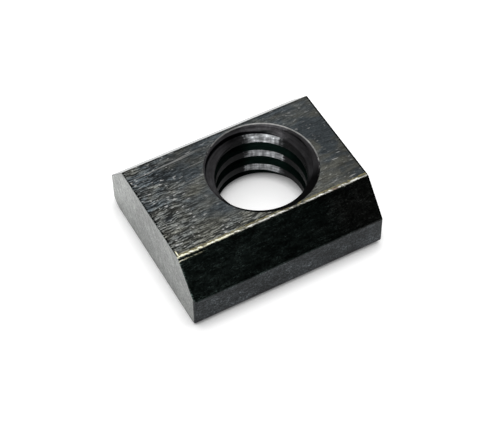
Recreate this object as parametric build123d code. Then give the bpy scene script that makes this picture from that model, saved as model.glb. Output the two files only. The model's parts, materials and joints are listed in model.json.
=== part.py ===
from build123d import *

import os
from math import radians, tan

# Slide-in nut for a T-slot: a length of drawn steel bar with one threaded bore, set off the middle.
# It lies on its wide clamping face with the narrow face up. The origin is where the thread's axis
# meets the clamping face. X runs along the slot, Y across it, and +Z from the wide face to the narrow.
# Lengths are in millimetres and angles in degrees.

# Section of the bar, across the slot
clamping_width = 10.7
narrow_width = 7.1
thickness = 4.35
side_height = 2.25
front_base_radius = 0.4
back_base_radius = 0.95
shoulder_radius = 0.2
narrow_edge_radius = 0.12

# Length cut from the bar, and the edges that the cut leaves. The blade rolls one base edge over.
cut_length = 12.4
cut_edge_break = 0.06
rolled_base_radius = 0.4

# Threaded bore: 1/4-20 UNC, modelled at its crests
thread_offset = 1.1
thread_crest_radius = 2.7
clamping_rim_radius = 3.4
clamping_countersink_angle = 118.0
narrow_rim_radius = 3.4
narrow_countersink_angle = 138.0

# Shallow seat of a second, larger drill in the narrow countersink, off the thread's axis
seat_radius = 3.06
seat_depth = 0.4
seat_point_angle = 132.0
seat_offset = 0.26


def rounded_corner(section, corner, radius):
    """Rounds the corner of a flat section that lies nearest to the given point."""
    nearest = section.vertices().sort_by_distance(corner)[0]
    return fillet(nearest, radius)


def bar_section():
    """Section of the bar, drawn with Y to the right and Z up, and standing on the clamping face."""
    half_base = clamping_width / 2
    half_top = narrow_width / 2
    front_base = (-half_base, 0)
    front_shoulder = (-half_base, side_height)
    front_top = (-half_top, thickness)
    back_top = (half_top, thickness)
    back_shoulder = (half_base, side_height)
    back_base = (half_base, 0)
    corner_radii = {
        front_base: front_base_radius,
        front_shoulder: shoulder_radius,
        front_top: narrow_edge_radius,
        back_top: narrow_edge_radius,
        back_shoulder: shoulder_radius,
        back_base: back_base_radius,
    }
    section = make_face(Polyline(*corner_radii, close=True))
    for corner, radius in corner_radii.items():
        section = rounded_corner(section, corner, radius)
    return section


def rolled_edge_waste():
    """What the blade's roll takes off the base edge at one end: the corner outside its rounding."""
    half_length = cut_length / 2
    radius = rolled_base_radius
    inner = half_length - radius
    outer = half_length + radius
    corner = make_face(
        Polyline((inner, -radius), (outer, -radius), (outer, radius), (inner, radius), close=True)
    )
    waste = corner - Pos(inner, radius) * Circle(radius)
    return extrude(Plane.XZ * waste, amount=clamping_width, both=True)


def cut_bar():
    """The bar cut to length, with its edges broken round both ends and one base edge rolled over."""
    bar = extrude(Plane.YZ * bar_section(), amount=cut_length / 2, both=True)
    ends = bar.faces().filter_by(Axis.X)
    return chamfer(ends.edges(), cut_edge_break) - rolled_edge_waste()


def turned(half_section):
    """Solid of revolution about Z, from a closed outline of radius and height."""
    return revolve(Plane.XZ * make_face(half_section), axis=Axis.Z)


def cone_depth(outer_radius, inner_radius, full_angle):
    """Depth of a cone between two of its radii."""
    return (outer_radius - inner_radius) / tan(radians(full_angle / 2))


def bore():
    """Space inside the thread's crests, with the countersink at each face."""
    crest = thread_crest_radius
    clamping_depth = cone_depth(clamping_rim_radius, crest, clamping_countersink_angle)
    narrow_depth = cone_depth(narrow_rim_radius, crest, narrow_countersink_angle)
    half_section = Polyline(
        (0, 0),
        (clamping_rim_radius, 0),
        (crest, clamping_depth),
        (crest, thickness - narrow_depth),
        (narrow_rim_radius, thickness),
        (0, thickness),
        close=True,
    )
    return turned(half_section)


def drill_seat():
    """Space that the second drill took, with its pointed bottom."""
    seat_height = thickness - seat_depth
    point_height = seat_height - cone_depth(seat_radius, 0, seat_point_angle)
    half_section = Polyline(
        (0, point_height),
        (seat_radius, seat_height),
        (seat_radius, thickness),
        (0, thickness),
        close=True,
    )
    return Pos(-seat_offset, 0, 0) * turned(half_section)


def slot_nut():
    """The whole nut, with the thread's axis on Z."""
    return Pos(-thread_offset, 0, 0) * cut_bar() - bore() - drill_seat()


os.makedirs("parts", exist_ok=True)
export_step(slot_nut(), "parts/slot_nut.step")
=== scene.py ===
"""Slide-in nut for a T-slot: drawn bar with a threaded bore and black oxide, in a small studio."""

import json
from math import atan2, cos, hypot, pi, radians, sin, tan

import bmesh
import bpy
from mathutils import Matrix, Vector


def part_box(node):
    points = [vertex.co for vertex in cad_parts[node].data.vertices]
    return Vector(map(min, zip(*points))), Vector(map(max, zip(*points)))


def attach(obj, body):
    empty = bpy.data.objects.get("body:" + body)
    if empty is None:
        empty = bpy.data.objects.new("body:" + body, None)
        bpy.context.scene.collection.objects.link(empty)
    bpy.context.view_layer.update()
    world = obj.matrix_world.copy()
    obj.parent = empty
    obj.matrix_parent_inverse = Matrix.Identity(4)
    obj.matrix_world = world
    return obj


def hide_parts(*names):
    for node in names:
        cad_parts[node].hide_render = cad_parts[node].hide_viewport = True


bl_info = {
    "name": "Slot Nut Maker",
    "version": (1, 0, 0),
    "blender": (4, 5, 0),
    "location": "3D View > Sidebar > Slot Nut",
    "description": "Models a slide-in T-slot nut with its thread, worn black oxide and a studio",
    "category": "Object",
}

MM = 0.001
NUT = "slot_nut"
BODY = "slot_nut_body"

# Facets in a full turn, for the drills and the tap alike.
TURN_STEPS = 144
# Faces that meet at less than this are shaded as one smooth surface.
SMOOTH_ANGLE = radians(14)
# A face whose normal has more than this along an axis counts as square to it.
SQUARE = 0.98
# How close to a cutting plane a point has to be to count as on it.
PLANE_SLACK = 1e-8

# The nut as its finishes see it, in millimetres from the thread's axis and the wide face.
LEFT_END, RIGHT_END = -7.3, 5.1
TOP = 4.35
HALF_NARROW = 3.55
DRILL_WANDER = 0.26
# Square to the bisector of the narrow face's front edge: its share across the bar, and upwards.
EDGE_ACROSS, EDGE_UP = 0.909, 0.418

# Where the camera looks, from the nut's origin.
CAMERA_AIM = Vector((-1.343, -1.004, 1.861)) * MM
# Each has its name, direction from the nut, distance, size and watts, and the setting that is
# turned off so that one kind of ray misses it.
LAMPS = (
    ("Overhead light", (0.30, 0.60, 0.75), 0.45, (0.5, 0.5), 0.45, "visible_diffuse"),
    ("Key light", (0.10, 0.16, 0.98), 0.45, (0.45, 0.45), 1.2, "visible_glossy"),
    ("Side light", (-0.56, -0.66, 0.46), 0.30, (0.42, 0.16), 0.75, "visible_diffuse"),
)

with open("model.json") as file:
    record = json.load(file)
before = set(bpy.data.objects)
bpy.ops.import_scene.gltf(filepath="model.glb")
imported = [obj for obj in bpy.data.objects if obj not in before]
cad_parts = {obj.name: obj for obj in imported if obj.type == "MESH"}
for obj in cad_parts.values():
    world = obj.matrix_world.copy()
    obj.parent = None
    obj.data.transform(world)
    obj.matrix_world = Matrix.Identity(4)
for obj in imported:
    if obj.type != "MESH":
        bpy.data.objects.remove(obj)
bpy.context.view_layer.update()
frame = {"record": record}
NUT_LOW, NUT_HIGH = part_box(NUT)
THREAD = next(m for m in frame["record"]["mounts"] if m["name"] == "thread")


# ---------------------------------------------------------------- sizes, colours and light


def length(label, text, value):
    """A size in metres, shown with its unit in the sidebar."""
    return bpy.props.FloatProperty(
        name=label, description=text, default=value, min=0.0, precision=5, unit="LENGTH"
    )


def angle(label, text, degrees):
    """An angle, shown in degrees in the sidebar."""
    return bpy.props.FloatProperty(
        name=label, description=text, default=radians(degrees), unit="ROTATION"
    )


def colour(label, text, value):
    """A surface colour, as linear red, green and blue."""
    return bpy.props.FloatVectorProperty(
        name=label, description=text, default=value, size=3, min=0.0, max=1.0, subtype="COLOR"
    )


def share(label, text, value):
    """A number from none to all."""
    return bpy.props.FloatProperty(
        name=label, description=text, default=value, min=0.0, max=1.0, subtype="FACTOR"
    )


class BarSizes(bpy.types.PropertyGroup):
    """Section of the drawn bar, and the edges that drawing and cutting leave."""

    narrow_width: length("Narrow face", "Width of the face that shows in the slot", 7.1 * MM)
    side_height: length("Side height", "Height of the upright sides to the shoulders", 2.25 * MM)
    front_base_radius: length("Front base edge", "Radius under the front side", 0.4 * MM)
    back_base_radius: length("Back base edge", "Radius under the back side", 0.95 * MM)
    shoulder_radius: length("Shoulder edge", "Radius between side and slope", 0.2 * MM)
    narrow_edge_radius: length("Narrow face edge", "Radius beside the narrow face", 0.12 * MM)
    cut_break: length("Cut edge", "Break round the two cut ends", 0.06 * MM)
    corner_radius: length("Upright corner", "Radius down the corners of the end at -X", 0.22 * MM)
    rolled_base_radius: length("Rolled edge", "Base edge that the blade rolled over", 0.4 * MM)


class BoreSizes(bpy.types.PropertyGroup):
    """Tapped bore and its countersinks."""

    crest_radius: length(
        "Crest radius", "Radius of the bore at the thread's crests", THREAD["dims"]["r_mm"] * MM
    )
    root_radius: length("Root radius", "Radius at the bottom of the thread's groove", 3.2 * MM)
    pitch: length("Pitch", "Height of one turn of the thread", 1.27 * MM)
    root_flat: length("Root flat", "Width of the groove's bottom", 0.2 * MM)
    flank_angle: angle("Flank angle", "Lean of each flank of the groove", 30.0)
    # Half a facet away from the drill's own facets, so that the two cuts share no sliver.
    start_turn: angle("Start", "Where a crest stands one pitch above the wide face", 101.25)
    wide_rim_radius: length("Wide rim", "Countersink radius in the wide face", 3.4 * MM)
    wide_rim_angle: angle("Wide countersink", "Full angle of the wide face's countersink", 118.0)
    narrow_rim_radius: length("Narrow rim", "Countersink radius in the narrow face", 3.4 * MM)
    narrow_rim_angle: angle(
        "Narrow countersink", "Full angle of the narrow face's countersink", 138.0
    )
    seat_radius: length("Seat radius", "Second drill's seat in the narrow countersink", 3.06 * MM)
    seat_depth: length("Seat depth", "From the narrow face to the seat", 0.4 * MM)
    seat_angle: angle("Seat angle", "Full angle of the second drill's point", 132.0)
    seat_offset: length("Seat offset", "How far the second drill wandered along the bar", 0.26 * MM)


class SteelFinish(bpy.types.PropertyGroup):
    """Colours of the black oxide and of the steel where it shows."""

    oxide: colour("Oxide", "Black oxide on the drawn faces", (0.063, 0.067, 0.065))
    cool_oxide: colour("Cool oxide", "Bluish patches of the oxide", (0.048, 0.056, 0.061))
    warm_oxide: colour("Warm oxide", "Olive patches of the oxide", (0.074, 0.075, 0.066))
    slope_oxide: colour("Slope oxide", "Deep oxide on the sloped shoulders", (0.026, 0.037, 0.033))
    grey_oxide: colour(
        "Grey oxide", "Greyer stain near one end of the shoulders", (0.037, 0.038, 0.035)
    )
    side_oxide: colour("Side oxide", "Dull oxide on the upright sides", (0.023, 0.026, 0.028))
    # Also the colour of a painted highlight on the narrow countersink's rim.
    scratch_and_rim_highlight: colour("Scratches", "Fine bright scratches and specks", (0.42, 0.42, 0.41))
    worn_steel: colour("Worn steel", "Edge worn through to bright steel", (0.66, 0.66, 0.62))
    # Straw: the yellow of the worn edge and of the painted highlight on it.
    straw_temper_and_highlight: colour(
        "Straw temper", "Straw-yellow steel along part of the worn edge", (0.93, 0.91, 0.70)
    )
    gold_temper: colour("Gold temper", "Thin oxide beside the worn steel", (0.27, 0.24, 0.12))
    bronze_temper: colour(
        "Bronze temper", "Bruised brown part of the worn edge", (0.26, 0.20, 0.17)
    )
    cut_steel: colour("Cut steel", "Thin oxide on the cut ends", (0.205, 0.212, 0.205))
    bore_oxide: colour("Bore oxide", "Oxide in the thread's grooves", (0.004, 0.010, 0.008))
    rim_oxide: colour("Rim oxide", "Oxide on the countersinks", (0.037, 0.036, 0.038))
    # The crests show this steel colour only in a painted highlight on one side of the bore.
    crest_highlight_steel: colour(
        "Crest steel", "Thread crests, rubbed bright by the tap", (0.32, 0.33, 0.34)
    )


class StudioLook(bpy.types.PropertyGroup):
    """Camera and soft light."""

    camera_turn: angle("Camera turn", "Round the nut from straight in front", -28.286)
    camera_height: angle("Camera height", "Above the floor, seen from the nut", 51.514)
    camera_roll: angle("Camera roll", "Lean of the camera", -0.695)
    camera_distance: length("Camera distance", "From the nut to the camera", 97.377 * MM)
    camera_lens: bpy.props.FloatProperty(
        name="Lens", description="Focal length on a 36 mm sensor", default=119.6, unit="CAMERA"
    )
    floor_glow: share("Floor glow", "Light that the floor itself shows", 0.54)
    low_light: share("Low light", "Room light near the floor's level", 0.11)
    high_light: share("High light", "What the room adds overhead", 0.61)


# ---------------------------------------------------------------- modelling


def deselect():
    """Leaves nothing selected."""
    if bpy.context.object and bpy.context.object.mode != "OBJECT":
        bpy.ops.object.mode_set(mode="OBJECT")
    bpy.ops.object.select_all(action="DESELECT")


def open_mesh(obj):
    """Starts editing one object, with nothing in its mesh selected."""
    deselect()
    obj.select_set(True)
    bpy.context.view_layer.objects.active = obj
    bpy.ops.object.mode_set(mode="EDIT")
    bpy.ops.mesh.select_mode(type="VERT")
    bpy.ops.mesh.select_all(action="DESELECT")


def close_mesh():
    """Ends editing."""
    bpy.ops.object.mode_set(mode="OBJECT")


def pick_edges(obj, wanted):
    """Selects the edges whose two ends pass the test. The mesh is open for editing."""
    bpy.ops.mesh.select_mode(type="EDGE")
    mesh = bmesh.from_edit_mesh(obj.data)
    count = 0
    for edge in mesh.edges:
        if wanted(edge.verts[0].co, edge.verts[1].co):
            edge.select_set(True)
            count += 1
    bmesh.update_edit_mesh(obj.data)
    if not count:
        raise RuntimeError(f"no edge to work on in {obj.name}")


def pick_points(obj, wanted):
    """Selects only the points that pass the test. The mesh is open for editing."""
    bpy.ops.mesh.select_mode(type="VERT")
    bpy.ops.mesh.select_all(action="DESELECT")
    mesh = bmesh.from_edit_mesh(obj.data)
    for point in mesh.verts:
        point.select_set(wanted(point.co))
    bmesh.update_edit_mesh(obj.data)


def near(a, b, slack=0.004 * MM):
    """Whether two places along one axis are the same."""
    return abs(a - b) < slack


def settle(obj):
    """Moves the object's place, turn and size into its mesh."""
    deselect()
    obj.select_set(True)
    bpy.context.view_layer.objects.active = obj
    bpy.ops.object.transform_apply(location=True, rotation=True, scale=True)


def apply_modifier(obj, kind, **settings):
    """Adds one modifier to the object and applies it."""
    deselect()
    obj.select_set(True)
    bpy.context.view_layer.objects.active = obj
    made = obj.modifiers.new(kind.title(), kind)
    for key, value in settings.items():
        setattr(made, key, value)
    bpy.ops.object.modifier_apply(modifier=made.name)


def remove(obj):
    """Deletes a helper object and its mesh."""
    mesh = obj.data
    bpy.data.objects.remove(obj)
    bpy.data.meshes.remove(mesh)


def section_corners(sizes):
    """The corners of half the bar's section, from the base up: place across, height."""
    half = NUT_HIGH.y
    return {
        "base": (half, NUT_LOW.z),
        "shoulder": (half, sizes.side_height),
        "narrow": (sizes.narrow_width / 2, NUT_HIGH.z),
    }


def shape_bar(sizes):
    """The length of drawn bar: a block with both shoulders cut to a slope and its edges rounded."""
    deselect()
    middle = (NUT_LOW + NUT_HIGH) / 2
    bpy.ops.mesh.primitive_cube_add(size=1, location=middle, scale=NUT_HIGH - NUT_LOW)
    bar = bpy.context.object
    settle(bar)
    corners = section_corners(sizes)
    across, rise = corners["shoulder"][0] - corners["narrow"][0], NUT_HIGH.z - sizes.side_height
    open_mesh(bar)
    for side in (-1, 1):
        bpy.ops.mesh.select_all(action="SELECT")
        bpy.ops.mesh.bisect(
            plane_co=(0, side * corners["shoulder"][0], sizes.side_height),
            plane_no=(0, side * rise, across),
            use_fill=True,
            clear_outer=True,
            threshold=1e-7,
        )
    bpy.ops.mesh.select_all(action="DESELECT")
    slope = atan2(rise, across)
    rounds = (
        ("base", -1, sizes.front_base_radius, pi / 2, 8),
        ("base", 1, sizes.back_base_radius, pi / 2, 10),
        ("shoulder", -1, sizes.shoulder_radius, pi / 2 - slope, 5),
        ("shoulder", 1, sizes.shoulder_radius, pi / 2 - slope, 5),
        ("narrow", -1, sizes.narrow_edge_radius, slope, 5),
        ("narrow", 1, sizes.narrow_edge_radius, slope, 5),
    )
    for corner, side, radius, turn, steps in rounds:
        place, height = corners[corner]
        bpy.ops.mesh.select_all(action="DESELECT")
        pick_edges(
            bar,
            lambda a, b: all(near(v.y, side * place) and near(v.z, height) for v in (a, b)),
        )
        bpy.ops.mesh.bevel(
            offset=radius * tan(turn / 2), segments=steps, profile=0.5, clamp_overlap=False
        )
    for end in (NUT_LOW.x, NUT_HIGH.x):
        bpy.ops.mesh.select_all(action="DESELECT")
        pick_edges(bar, lambda a, b: near(a.x, end) and near(b.x, end))
        bpy.ops.mesh.bevel(
            offset=sizes.cut_break, segments=2, profile=0.5, clamp_overlap=False
        )
    close_mesh()
    round_with_block(
        bar,
        lambda a, b: near(a.y, b.y) and all(near(v.x, NUT_LOW.x) for v in (a, b)),
        sizes.corner_radius,
    )
    round_with_block(
        bar,
        lambda a, b: all(near(v.x, NUT_HIGH.x) and near(v.z, NUT_LOW.z) for v in (a, b)),
        sizes.rolled_base_radius,
    )
    return bar


def round_with_block(bar, wanted, radius):
    """Rounds some of the bar's edges, by keeping what it shares with a block rounded there."""
    deselect()
    slack = Vector((1, 1, 1)) * 0.0005 * MM
    low, high = NUT_LOW - slack, NUT_HIGH + slack
    bpy.ops.mesh.primitive_cube_add(size=1, location=(low + high) / 2, scale=high - low)
    block = bpy.context.object
    settle(block)
    open_mesh(block)
    pick_edges(block, wanted)
    bpy.ops.mesh.bevel(offset=radius, segments=8, profile=0.5, clamp_overlap=False)
    close_mesh()
    apply_modifier(bar, "BOOLEAN", operation="INTERSECT", solver="EXACT", object=block)
    remove(block)


def turned_tool(name, axis_x, levels):
    """A turned solid on an upright axis: a disc drawn up through each (radius, height) in turn."""
    deselect()
    radius, height = levels[0]
    bpy.ops.mesh.primitive_circle_add(
        vertices=TURN_STEPS, radius=radius, fill_type="NGON", location=(axis_x, 0, height)
    )
    tool = bpy.context.object
    tool.name = name
    settle(tool)
    open_mesh(tool)
    bpy.ops.mesh.select_all(action="SELECT")
    for next_radius, next_height in levels[1:]:
        bpy.ops.mesh.extrude_region_move(
            TRANSFORM_OT_translate={"value": (0, 0, next_height - height)}
        )
        grow = next_radius / radius
        bpy.ops.transform.resize(
            value=(grow, grow, 1), center_override=(axis_x, 0, next_height)
        )
        radius, height = next_radius, next_height
    bpy.ops.mesh.select_all(action="SELECT")
    bpy.ops.mesh.normals_make_consistent(inside=False)
    close_mesh()
    return tool


def drill(bore):
    """The drill and both countersinks as one turned solid, reaching past both faces."""
    past = 0.5 * MM
    wide_lean, narrow_lean = tan(bore.wide_rim_angle / 2), tan(bore.narrow_rim_angle / 2)
    low, high = NUT_LOW.z, NUT_HIGH.z
    r = bore.crest_radius
    wide, narrow = bore.wide_rim_radius, bore.narrow_rim_radius
    levels = (
        (wide + past * wide_lean, low - past),
        (r, low + (wide - r) / wide_lean),
        (r, high - (narrow - r) / narrow_lean),
        (narrow + past * narrow_lean, high + past),
    )
    return turned_tool("drill", 0.0, levels)


def seat_drill(bore):
    """The second, larger drill, which left its pointed seat a little off the thread's axis."""
    r = bore.seat_radius
    floor = NUT_HIGH.z - bore.seat_depth
    blunt = 0.02 * MM
    tip = floor - (r - blunt) / tan(bore.seat_angle / 2)
    levels = ((blunt, tip), (r, floor), (r, NUT_HIGH.z + 0.3 * MM))
    return turned_tool("seat drill", -bore.seat_offset, levels)


def tap(bore):
    """The tap: one pitch of the thread's outline wound up the axis, cut level above and below."""
    half_root = bore.root_flat / 2
    depth = bore.root_radius - bore.crest_radius
    half_mouth = half_root + depth * tan(bore.flank_angle)
    crest, pitch, start = bore.crest_radius, bore.pitch, bore.start_turn
    outward = Vector((cos(start), sin(start), 0))
    base = -2 * pitch
    middle = base + pitch / 2
    deselect()
    bpy.ops.mesh.primitive_plane_add(
        size=pitch,
        location=outward * (crest - pitch / 2) + Vector((0, 0, middle)),
        rotation=(pi / 2, 0, start),
    )
    obj = bpy.context.object
    obj.name = "tap"
    settle(obj)
    open_mesh(obj)
    for offset in (-half_mouth, -half_root, half_root, half_mouth):
        bpy.ops.mesh.select_all(action="SELECT")
        bpy.ops.mesh.bisect(
            plane_co=(0, 0, middle + offset), plane_no=(0, 0, 1), threshold=PLANE_SLACK
        )
    pick_points(obj, lambda v: v.dot(outward) < crest - pitch / 2)
    bpy.ops.mesh.delete(type="VERT")
    pick_points(obj, lambda v: abs(v.z - middle) < half_root + 0.01 * MM)
    bpy.ops.transform.translate(value=outward * depth)
    close_mesh()
    apply_modifier(
        obj,
        "SCREW",
        axis="Z",
        angle=2 * pi,
        screw_offset=pitch,
        iterations=7,
        steps=TURN_STEPS,
        render_steps=TURN_STEPS,
        use_smooth_shade=True,
    )
    open_mesh(obj)
    bpy.ops.mesh.select_all(action="SELECT")
    bpy.ops.mesh.remove_doubles(threshold=1e-6)
    for height, up in ((NUT_LOW.z - 0.4 * MM, -1), (NUT_HIGH.z + 0.4 * MM, 1)):
        bpy.ops.mesh.select_all(action="SELECT")
        bpy.ops.mesh.bisect(
            plane_co=(0, 0, height),
            plane_no=(0, 0, up),
            use_fill=True,
            clear_outer=True,
            threshold=PLANE_SLACK,
        )
    bpy.ops.mesh.select_all(action="SELECT")
    bpy.ops.mesh.normals_make_consistent(inside=False)
    close_mesh()
    return obj


def cut(obj, tool):
    """Takes the tool's shape out of the object, and the tool away."""
    apply_modifier(obj, "BOOLEAN", operation="DIFFERENCE", solver="EXACT", object=tool)
    remove(tool)


def clean(obj):
    """Closes up the slivers that cutting leaves."""
    open_mesh(obj)
    bpy.ops.mesh.select_all(action="SELECT")
    bpy.ops.mesh.remove_doubles(threshold=0.00002 * MM)
    bpy.ops.mesh.select_all(action="SELECT")
    bpy.ops.mesh.dissolve_degenerate(threshold=0.00001 * MM)
    close_mesh()


# ---------------------------------------------------------------- shader nodes


class Wire:
    """A value that runs between shader nodes. Sums and products of wires add their own nodes."""

    def __init__(self, bench, socket):
        self.bench = bench
        self.socket = socket

    def maths(self, operation, first, second):
        return self.bench.add("ShaderNodeMath", {"operation": operation}, (first, second))

    def other(self, output):
        """Another output of the same node."""
        return Wire(self.bench, self.socket.node.outputs[output])

    def __add__(self, value):
        return self.maths("ADD", self, value)

    __radd__ = __add__

    def __sub__(self, value):
        return self.maths("SUBTRACT", self, value)

    def __rsub__(self, value):
        return self.maths("SUBTRACT", value, self)

    def __mul__(self, value):
        return self.maths("MULTIPLY", self, value)

    __rmul__ = __mul__

    def __pow__(self, value):
        return self.maths("POWER", self, value)

    def __rpow__(self, value):
        return self.maths("POWER", value, self)


class Bench:
    """The nodes of one material or of the world."""

    def __init__(self, owner):
        owner.use_nodes = True
        self.tree = owner.node_tree
        self.tree.nodes.clear()

    def add(self, kind, settings=None, values=(), output=0):
        """Adds one node: its settings first, then the numbers or wires of its sockets."""
        node = self.tree.nodes.new(kind)
        for name, value in (settings or {}).items():
            if name == "stops":
                self.set_stops(node.color_ramp.elements, value)
            else:
                setattr(node, name, value)
        for key, value in values.items() if isinstance(values, dict) else enumerate(values):
            if isinstance(value, Wire):
                self.tree.links.new(value.socket, node.inputs[key])
            else:
                node.inputs[key].default_value = value
        return Wire(self, node.outputs[output]) if node.outputs else None

    def set_stops(self, stops, levels):
        """Sets a ramp's stops, each a place from 0 to 1 and a grey level."""
        while len(stops) < len(levels):
            stops.new(1.0)
        for stop, (place, level) in zip(stops, levels):
            stop.position = place
            stop.color = (level, level, level, 1)

    def place(self):
        """Place on the nut in millimetres: the whole, then along, across and up."""
        spot = self.add("ShaderNodeTexCoord", output="Object")
        spot = self.add("ShaderNodeVectorMath", {"operation": "SCALE"}, {0: spot, "Scale": 1 / MM})
        x = self.add("ShaderNodeSeparateXYZ", values=(spot,))
        return spot, x, x.other("Y"), x.other("Z")

    def spot(self, x, y, z):
        return self.add("ShaderNodeCombineXYZ", values=(x, y, z))

    def fade(self, value, start, end):
        """Nothing at the start and all at the end, with soft shoulders."""
        ends = {"Value": value, "From Min": start, "From Max": end}
        return self.add("ShaderNodeMapRange", {"interpolation_type": "SMOOTHSTEP"}, ends)

    def levels(self, value, start, end, *levels):
        """A level that runs through the ones given, evenly spaced from the start to the end."""
        stops = [(step / (len(levels) - 1), level) for step, level in enumerate(levels)]
        part = (value - start) * (1 / (end - start))
        return self.add("ShaderNodeValToRGB", {"stops": stops}, (part,))

    def noise(self, spot, stretch, detail, roughness, shift):
        """Soft noise round one half, with so many waves a millimetre each way."""
        moved = {0: spot, "Location": (shift, shift, shift), "Scale": stretch}
        moved = self.add("ShaderNodeMapping", values=moved)
        waves = {"Vector": moved, "Scale": 1.0, "Detail": detail, "Roughness": roughness}
        return self.add("ShaderNodeTexNoise", values=waves)

    def most(self, first, second):
        return first.maths("MAXIMUM", first, second)

    def mix(self, part, first, second, mode="MIX"):
        """Part of the way from the first colour to the second."""
        pair = [c if isinstance(c, Wire) else (*c, 1) for c in (first, second)]
        settings = {"data_type": "RGBA", "blend_type": mode}
        return self.add("ShaderNodeMix", settings, {0: part, 6: pair[0], 7: pair[1]}, output=2)

    def shade(self, tint, value):
        """A colour made lighter or darker by a value."""
        grey = self.spot(value, value, value)
        return self.mix(1.0, tint, grey, "MULTIPLY")

    def bump(self, height, microns):
        return self.add(
            "ShaderNodeBump", values={"Strength": 1.0, "Distance": microns * 1e-6, "Height": height}
        )

    def surface(self, **values):
        """The finished metal surface, from the shader's sockets by name."""
        values = {name.replace("_", " "): value for name, value in values.items()}
        shader = self.add("ShaderNodeBsdfPrincipled", values=values)
        self.add("ShaderNodeOutputMaterial", values={"Surface": shader})


# ---------------------------------------------------------------- finishes


def drawn_oxide(finish):
    """Black oxide on the drawn faces, with its drawing lines, patches, painted shade along the cut
    edges and low on the sides, and a worn front edge with a painted highlight.
    """
    material = bpy.data.materials.new("Drawn black oxide")
    bench = Bench(material)
    spot, x, y, z = bench.place()
    fade, noise, mix = bench.fade, bench.noise, bench.mix
    slope = fade(z, 4.34, 4.28)
    side = fade(z, 2.29, 2.12)

    patches = noise(spot, (0.45, 0.8, 0.8), 2.0, 0.5, 3.0) - 0.5
    blotches = noise(spot, (1.1, 1.8, 1.8), 2.0, 0.5, 7.0) - 0.5
    right = fade(x + patches * 4.0, 3.2, 4.0) * fade(y, 2.6, 1.6)
    cool = fade(patches + blotches * 0.5 + y * 0.03 + right * 0.18, -0.02, 0.20)
    warm = fade(patches * -1.0 - blotches * 0.5 - y * 0.02, -0.02, 0.18)
    tint = mix(warm, finish.oxide, finish.warm_oxide)
    tint = mix(cool, tint, finish.cool_oxide)
    # Darker in patches: at the right end, at the back towards the left, towards the left end, and
    # in a band along the back edge of the narrow face.
    dim = bench.most(right * 0.3, fade(y + patches * 3.0, 1.4, 2.8) * fade(x, -1.5, -3.0) * 0.3)
    dim = bench.most(dim, fade(x, -4.0, -6.0) * 0.16)
    tint = bench.shade(tint, (1.0 - dim) * (1.0 - 0.45 * fade(y, 3.36, 3.5)))
    stain = fade(x + patches * 5.0, 1.0, 4.0)
    tint = mix(slope, tint, mix(stain * 0.8, finish.slope_oxide, finish.grey_oxide))
    # Painted shade: the upright sides grow darker towards the floor.
    under = fade(z, 0.45, 0.08)
    tint = mix(side, tint, bench.shade(finish.side_oxide, 1.0 - under * 0.6))

    # Drawing lines run along the bar: long fine ones, short wavy ones, and dashes that are
    # deepest near the end that was cut last and beside the worn edge.
    wander = noise(spot, (0.6, 0.6, 0.6), 1.0, 0.5, 11.0) - 0.5
    ripple = noise(spot, (1.6, 1.0, 1.0), 1.0, 0.5, 8.0) - 0.5
    along = bench.spot(x, y + wander * 0.35, z)
    wavy = bench.spot(x, y + wander * 0.35 + ripple * 0.16, z)
    near_end = bench.most(fade(x, -3.6, -6.4), fade(y, -1.8, -3.2) * fade(x, 1.5, -2.0))
    busy = (0.34 + near_end * 0.76) * (1.0 - 0.4 * fade(x, 2.0, 3.6)) * (1.0 - slope * 0.85)
    long_lines = noise(along, (0.22, 7.0, 7.0), 2.0, 0.6, 1.0) - 0.5
    short_lines = noise(along, (1.2, 5.0, 5.0), 3.0, 0.65, 5.0) - 0.5
    dashes = fade(noise(wavy, (2.2, 13.0, 13.0), 1.0, 0.5, 15.0), 0.36, 0.64) - 0.45
    grain = noise(spot, (9.0, 12.0, 12.0), 1.0, 0.5, 2.0) - 0.5
    mottle = noise(spot, (4.5, 5.5, 5.5), 3.0, 0.7, 17.0) - 0.5
    lines = (long_lines * 1.5 + short_lines * 1.5) * (1.0 - slope * 0.5)
    relief = lines + (dashes * 2.8 + grain * 2.0) * busy + grain * 1.0
    clouds = slope * (patches * 2.0 + blotches * 3.0 + mottle * 3.5 + grain * (3.5 + side * 2.0))
    tint = bench.shade(tint, 2.0 ** (relief + clouds))

    # Scratches and specks of bright steel.
    on_top = 1.0 - slope
    specks = fade(noise(wavy, (3.0, 8.0, 8.0), 1.0, 0.5, 9.0), 0.66, 0.72)
    specks = specks * (0.25 + 0.75 * near_end) * on_top
    nicks = fade(noise(along, (1.1, 8.0, 8.0), 1.0, 0.5, 13.0), 0.66, 0.76)
    nicks = nicks * fade(blotches, -0.02, 0.1) * 0.5 * on_top
    skewed = bench.spot(x, y - x * 0.04, z)
    drags = fade(noise(skewed, (0.16, 7.5, 1.0), 1.0, 0.5, 21.0), 0.60, 0.70)
    drags = drags * fade(x, -2.0, -3.5) * fade(y, 0.4, 1.4) * 0.35 * on_top
    marks = bench.most(specks, bench.most(nicks, drags))
    tint = mix(marks, tint, finish.scratch_and_rim_highlight)

    # Painted shade: a dark line along each cut edge, ragged at the end at -X. Darker along the
    # rounding of each shoulder.
    ragged = fade(dashes + grain, 0.42, 0.2)
    painted_cut_edge_shade = bench.most(fade(x, -7.19, -7.22) * ragged, fade(x, 4.96, 5.0))
    shoulder = fade(z, 2.34, 2.29) * fade(z, 2.12, 2.20)
    dark = bench.most(painted_cut_edge_shade * fade(z, 2.0, 2.5) * 0.9, shoulder * 0.55)
    tint = bench.shade(tint, 1.0 - dark)

    # The front edge is worn steel with a painted highlight along it.
    wear_and_highlight, lip, worn = edge_wear_and_highlight(bench, finish, x, y, z)
    tint = mix(wear_and_highlight, tint, worn)

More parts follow.
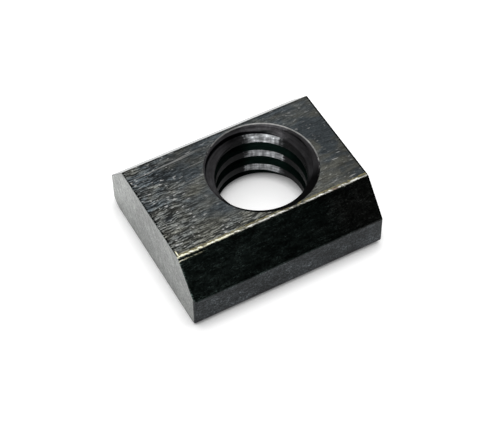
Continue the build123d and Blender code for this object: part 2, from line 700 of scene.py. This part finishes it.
    rough = 0.36 - slope * (0.1 + 0.06 * fade(y, 0.0, 1.0)) + side * 0.2
    rough = rough + short_lines * 0.2 + wear_and_highlight * 0.12
    height = relief * 0.25 + marks * 0.3 + lip * 4.0
    bench.surface(
        Base_Color=tint, Metallic=1.0, Roughness=rough, Normal=bench.bump(height, 7.0)
    )
    return material


def edge_wear_and_highlight(bench, finish, x, y, z):
    """The front edge of the narrow face, worn through, with a painted highlight along it: how much,
    its lip, and its colour.
    """
    fade, noise = bench.fade, bench.noise
    # Across the edge's rounding, square to its bisector: more than nothing is on the narrow face.
    inward, above = y + HALF_NARROW, z - TOP
    off = inward * EDGE_ACROSS + above * EDGE_UP
    deep = inward * EDGE_UP - above * EDGE_ACROSS
    on_edge = fade(deep, 0.36, 0.2)
    # How worn and how brightly highlighted it is, evenly spaced from end to end.
    worn_through = (1.0, 1.0, 0.9, 1.0, 0.75, 0.75, 0.8, 0.7, 0.25, 1.0, 0.8, 0.75, 0.9, 0.8)
    amount = bench.levels(x, LEFT_END, RIGHT_END, *worn_through)
    rub = noise(bench.spot(x, 0.0, 0.0), (1.2, 1.0, 1.0), 2.0, 0.5, 4.0) - 0.5
    strokes = noise(bench.spot(x + off * 1.8, off, 0.0), (5.5, 3.0, 1.0), 2.0, 0.6, 6.0) - 0.5

    def line(middle, wide):
        """A line along the edge: all within its width of the middle, and nothing outside."""
        gap = off - middle
        return fade((gap * gap) ** 0.5, wide + 0.035, wide)

    jags = noise(bench.spot(x, off, 0.0), (4.2, 6.0, 1.0), 2.0, 0.7, 12.0) - 0.5
    straw = fade(x + rub * 4.0, -2.9, -4.2)
    bruise = fade(x, 2.55, 2.8) * fade(x, 3.2, 3.0)
    broken = fade(amount * 0.5 + strokes * 2.2 + rub * 0.6, 0.06, 0.36)
    middle = 0.05 + rub * 0.1 + jags * 0.16
    main = line(middle, 0.02 + amount * 0.02 + strokes * 0.06) * broken
    second = line(jags * 0.12 - 0.19, 0.008) * fade(x, -5.4, -5.7) * fade(strokes, -0.12, 0.08)
    from_hook = x + 7.205
    hook = fade((from_hook * from_hook) ** 0.5, 0.05, 0.03) * fade(off, 0.55, 0.35)
    hook = hook * fade(off, -0.02, 0.03)
    # The bright lines and the hook are worn steel with a painted highlight.
    bright = bench.most(bench.most(main, second * (0.5 + 0.5 * fade(x, -6.6, -7.1))), hook)
    halo = line(middle + 0.07, 0.06) * fade(amount + jags * 3.0, 0.3, 0.9)
    worn = bench.mix(straw, finish.worn_steel, finish.straw_temper_and_highlight)
    worn = bench.mix(bruise, worn, finish.bronze_temper)
    worn = bench.shade(worn, 2.0 ** (strokes * 2.0 + rub + jags * 3.0))
    worn = bench.mix(bright, finish.gold_temper, worn)
    return bench.most(bright, halo * 0.7) * on_edge, bench.most(main * 0.3, second), worn


def cut_end(finish):
    """The cut ends: satin steel under thin oxide, with fine streaks left by the blade, and painted
    shade low at the front.
    """
    material = bpy.data.materials.new("Cut steel end")
    bench = Bench(material)
    spot, x, y, z = bench.place()
    fade, noise = bench.fade, bench.noise
    lean = bench.spot(x, y - z * 0.8, z)
    streaks = noise(lean, (1.0, 5.0, 0.6), 2.0, 0.6, 2.0) - 0.5
    fine = noise(lean, (1.0, 12.0, 2.2), 2.0, 0.6, 4.0) - 0.5
    cloud = noise(spot, (0.5, 0.8, 0.8), 2.0, 0.5, 6.0) - 0.5
    grit = noise(spot, (8.0, 10.0, 9.0), 2.0, 0.7, 12.0) - 0.5
    dark_lines = fade(noise(lean, (1.0, 7.0, 0.7), 1.0, 0.5, 9.0), 0.62, 0.72)
    # Painted shade: lighter towards the top and the back, so darkest low at the front, where the
    # end would mirror the nut's shadow on the floor.
    high = fade(z, 0.0, 4.4) * 0.15 + fade(y, 1.0, 4.5) * 0.35
    shade = streaks * 2.0 + fine * 3.0 + grit * 3.2 + cloud * 0.6 + high - dark_lines * 0.6
    tint = bench.shade(finish.cut_steel, 2.0**shade)
    rough = 0.40 + streaks * 0.3
    bench.surface(
        Base_Color=tint, Metallic=1.0, Roughness=rough, Normal=bench.bump(streaks + fine, 2.0)
    )
    return material


def tapped_bore(finish):
    """The bore: dark grooves, ring-marked countersinks with painted sheen and shade, and crests
    with a painted highlight on one side.
    """
    material = bpy.data.materials.new("Tapped bore")
    bench = Bench(material)
    spot, x, y, z = bench.place()
    fade, noise, mix = bench.fade, bench.noise, bench.mix
    radius = (x * x + y * y) ** 0.5
    rings = noise(bench.spot(radius + x * 0.05, y * 0.05, z), (9.0, 9.0, 9.0), 2.0, 0.6, 2.0) - 0.5
    chatter = noise(spot, (2.0, 2.0, 6.0), 2.0, 0.6, 5.0) - 0.5
    crest = fade(radius, 2.745, 2.715) * fade(z, 0.38, 0.46)
    seat_x = x + DRILL_WANDER
    seat_radius = (seat_x * seat_x + y * y) ** 0.5
    seat = fade(seat_radius, 3.05, 3.02) * fade(radius, 2.70, 2.73) * fade(z, 3.66, 3.72)
    seat_wall = fade(seat_radius, 3.03, 3.05) * fade(seat_radius, 3.09, 3.07) * fade(z, 3.93, 3.96)
    cone = fade(z, 4.05, 4.12)

    # Painted highlight: the crests, the seat and the countersink are made bright on one side of the
    # bore.
    rake = noise(spot, (5.0, 5.0, 0.7), 2.0, 0.6, 8.0) - 0.5
    towards = (x * 0.53 + y * 0.848) * radius**-1.0
    painted_highlight = fade(towards + chatter * 0.12 + rake * 0.1, 0.884, 0.955)
    highlight_strength = painted_highlight * (0.55 + 0.45 * fade(towards, 0.93, 1.0))
    painted = 0.05 + highlight_strength * 2.0 ** (rake * 5.0 + chatter * 2.0)
    # Painted shade and sheen: the countersinks and the seat are darker on the front side of the
    # bore and lighter towards its back and left.
    front = fade(y + x * 0.15, -0.8, -1.8)
    pale = fade(y * 0.5 - x * 0.8, 1.7, 2.5)
    rim = (1.0 + 0.8 * painted_highlight * 2.0 ** (rake * 4.0) + 0.6 * pale) * (1.0 - 0.94 * front)
    rim = bench.shade(finish.rim_oxide, rim)
    seat_rim = bench.shade(rim, 0.45 + 0.55 * pale)
    runout = fade(z, 3.45, 3.7) * fade(x - y * 0.25, 0.6, 1.8)
    tint = mix(bench.most(cone, runout), finish.bore_oxide, rim)
    tint = mix(seat, tint, mix(painted_highlight, seat_rim, bench.shade(finish.crest_highlight_steel, painted)))
    tint = mix(crest, tint, bench.shade(finish.crest_highlight_steel, painted))
    # The wall of the seat is made near black.
    tint = mix(seat_wall, tint, (0.003, 0.003, 0.004))
    # Painted highlight: a thin light line round part of the narrow countersink's rim, towards the
    # back and right.
    painted_rim_highlight = fade(radius, 3.30, 3.36) * cone * fade(x * 0.6 + y * 0.8 + rake * 4.0, 0.2, 1.6)
    tint = mix(painted_rim_highlight * 0.9, tint, finish.scratch_and_rim_highlight)
    tint = bench.shade(tint, 2.0 ** (rings * 2.0 + chatter * 2.4))
    rough = 0.5 + chatter * 0.2
    bench.surface(
        Base_Color=tint,
        Metallic=1.0,
        Roughness=rough,
        Anisotropic=0.9,
        Anisotropic_Rotation=0.25,
        Normal=bench.bump(rings + chatter * 0.5, 2.0),
    )
    return material


# ---------------------------------------------------------------- operators


class MakeSlotNut(bpy.types.Operator):
    """Models the nut from its bar, taps its thread and gives it its finish"""

    bl_idname = "slot_nut.make_nut"
    bl_label = "Slot Nut"

    def execute(self, context):
        scene = context.scene
        sizes, bore, finish = scene.slot_nut_bar, scene.slot_nut_bore, scene.slot_nut_finish
        nut = shape_bar(sizes)
        cut(nut, drill(bore))
        cut(nut, seat_drill(bore))
        cut(nut, tap(bore))
        clean(nut)
        nut.name = BODY
        nut.data.name = BODY
        deselect()
        nut.select_set(True)
        context.view_layer.objects.active = nut
        bpy.ops.object.shade_smooth_by_angle(angle=SMOOTH_ANGLE)
        apply_modifier(nut, "WEIGHTED_NORMAL", mode="FACE_AREA", keep_sharp=True, weight=80)
        nut.data.materials.clear()
        for material in (drawn_oxide(finish), cut_end(finish), tapped_bore(finish)):
            nut.data.materials.append(material)
        for face in nut.data.polygons:
            face.material_index = self.finish_of(face, bore)
        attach(nut, "root")
        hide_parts(NUT)
        return {"FINISHED"}

    @staticmethod
    def finish_of(face, bore):
        """Which finish a face has: 0 drawn, 1 cut end, 2 bore."""
        rim = max(bore.wide_rim_radius, bore.narrow_rim_radius)
        if hypot(face.center.x, face.center.y) < rim and abs(face.normal.z) < SQUARE:
            return 2
        return 1 if abs(face.normal.x) > SQUARE else 0


class SetStudio(bpy.types.Operator):
    """Sets the pale floor, the soft light and the camera"""

    bl_idname = "slot_nut.set_studio"
    bl_label = "Studio"

    def execute(self, context):
        scene = context.scene
        look = scene.slot_nut_look
        deselect()
        bpy.ops.mesh.primitive_plane_add(size=2.0, location=(0, 0, 0))
        floor = context.object
        floor.name = "studio_floor"
        settle(floor)
        floor.data.materials.append(floor_paint(look))
        scene.world = room_light(look)
        for *lamp, missed in LAMPS:
            setattr(soft_lamp(*lamp), missed, False)
        camera = bpy.data.objects.new("Camera", bpy.data.cameras.new("Camera"))
        scene.collection.objects.link(camera)
        camera.data.lens = look.camera_lens
        camera.data.sensor_width = 36.0
        camera.data.clip_start = 0.005
        camera.data.clip_end = 5.0
        turn, height = look.camera_turn, look.camera_height
        back = Vector((sin(turn) * cos(height), -cos(turn) * cos(height), sin(height)))
        camera.location = CAMERA_AIM + back * look.camera_distance
        level = (-back).to_track_quat("-Z", "Y").to_matrix()
        camera.rotation_euler = (level @ Matrix.Rotation(look.camera_roll, 3, "Z")).to_euler()
        scene.camera = camera
        scene.view_settings.view_transform = "Standard"
        return {"FINISHED"}


def floor_paint(look):
    """White floor: it takes the nut's shadow, and shows as white to the camera and in the metal;
    near the nut, ambient occlusion dims its glow as a painted contact shadow.
    """
    material = bpy.data.materials.new("Floor paint")
    bench = Bench(material)
    ray = bench.add("ShaderNodeLightPath", output="Is Camera Ray")
    seen = bench.most(bench.most(ray, ray.other("Is Glossy Ray")), ray.other("Is Transmission Ray"))
    # Painted contact shadow: ambient occlusion dims the floor's glow close to the nut.
    clear = bench.add("ShaderNodeAmbientOcclusion", {"samples": 8}, {"Distance": 0.0008}, "AO")
    paint = bench.add("ShaderNodeBsdfDiffuse", values={"Color": (0.8, 0.8, 0.8, 1)})
    white = bench.shade((1.0, 1.0, 1.0), seen * clear * look.floor_glow)
    glow = bench.add("ShaderNodeEmission", values={"Color": white})
    both = bench.add("ShaderNodeAddShader", values=(paint, glow))
    bench.add("ShaderNodeOutputMaterial", values={"Surface": both})
    return material


def room_light(look):
    """Soft room: bright overhead and behind, dark low in front, and white to the camera itself."""
    world = bpy.data.worlds.new("Studio room")
    bench = Bench(world)
    way = bench.add("ShaderNodeTexCoord", output="Generated")
    ray = bench.add("ShaderNodeLightPath", output="Is Camera Ray")
    up = bench.add("ShaderNodeSeparateXYZ", values=(way,), output="Z")
    towards = Vector((0.10, -0.86, 0.50)).normalized()
    product = {"operation": "DOT_PRODUCT"}
    facing = bench.add("ShaderNodeVectorMath", product, (way, towards), "Value")
    dark = bench.fade(facing, 0.60, 0.90)
    light = (look.low_light + look.high_light * bench.fade(up, 0.15, 0.75)) * (1.0 - 0.98 * dark)
    white = bench.shade((1.0, 1.0, 1.0), ray + (1.0 - ray) * light)
    back = bench.add("ShaderNodeBackground", values={"Color": white})
    bench.add("ShaderNodeOutputWorld", values={"Surface": back})
    return world


def soft_lamp(name, direction, distance, size, power):
    """A large soft light that faces the nut."""
    lamp = bpy.data.lights.new(name, "AREA")
    lamp.shape = "RECTANGLE"
    lamp.size, lamp.size_y = size
    lamp.energy = power
    obj = bpy.data.objects.new(name, lamp)
    bpy.context.scene.collection.objects.link(obj)
    way = Vector(direction).normalized()
    obj.location = way * distance
    obj.rotation_euler = (-way).to_track_quat("-Z", "Y").to_euler()
    return obj


class SlotNutPanel(bpy.types.Panel):
    """Lists the nut's sizes, colours and makers"""

    bl_idname = "VIEW3D_PT_slot_nut"
    bl_label = "Slot Nut"
    bl_space_type = "VIEW_3D"
    bl_region_type = "UI"
    bl_category = "Slot Nut"

    def draw(self, context):
        for group in ("slot_nut_bar", "slot_nut_bore", "slot_nut_finish", "slot_nut_look"):
            box = self.layout.box()
            values = getattr(context.scene, group)
            for key in values.__annotations__:
                box.prop(values, key)
        self.layout.operator(MakeSlotNut.bl_idname)
        self.layout.operator(SetStudio.bl_idname)


GROUPS = {
    "slot_nut_bar": BarSizes,
    "slot_nut_bore": BoreSizes,
    "slot_nut_finish": SteelFinish,
    "slot_nut_look": StudioLook,
}
CLASSES = (*GROUPS.values(), MakeSlotNut, SetStudio, SlotNutPanel)


def register():
    for cls in CLASSES:
        bpy.utils.register_class(cls)
    for name, group in GROUPS.items():
        setattr(bpy.types.Scene, name, bpy.props.PointerProperty(type=group))


def unregister():
    for name in GROUPS:
        delattr(bpy.types.Scene, name)
    for cls in reversed(CLASSES):
        bpy.utils.unregister_class(cls)


def main():
    register()
    bpy.ops.slot_nut.make_nut()
    bpy.ops.slot_nut.set_studio()
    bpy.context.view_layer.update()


if __name__ == "__main__":
    main()
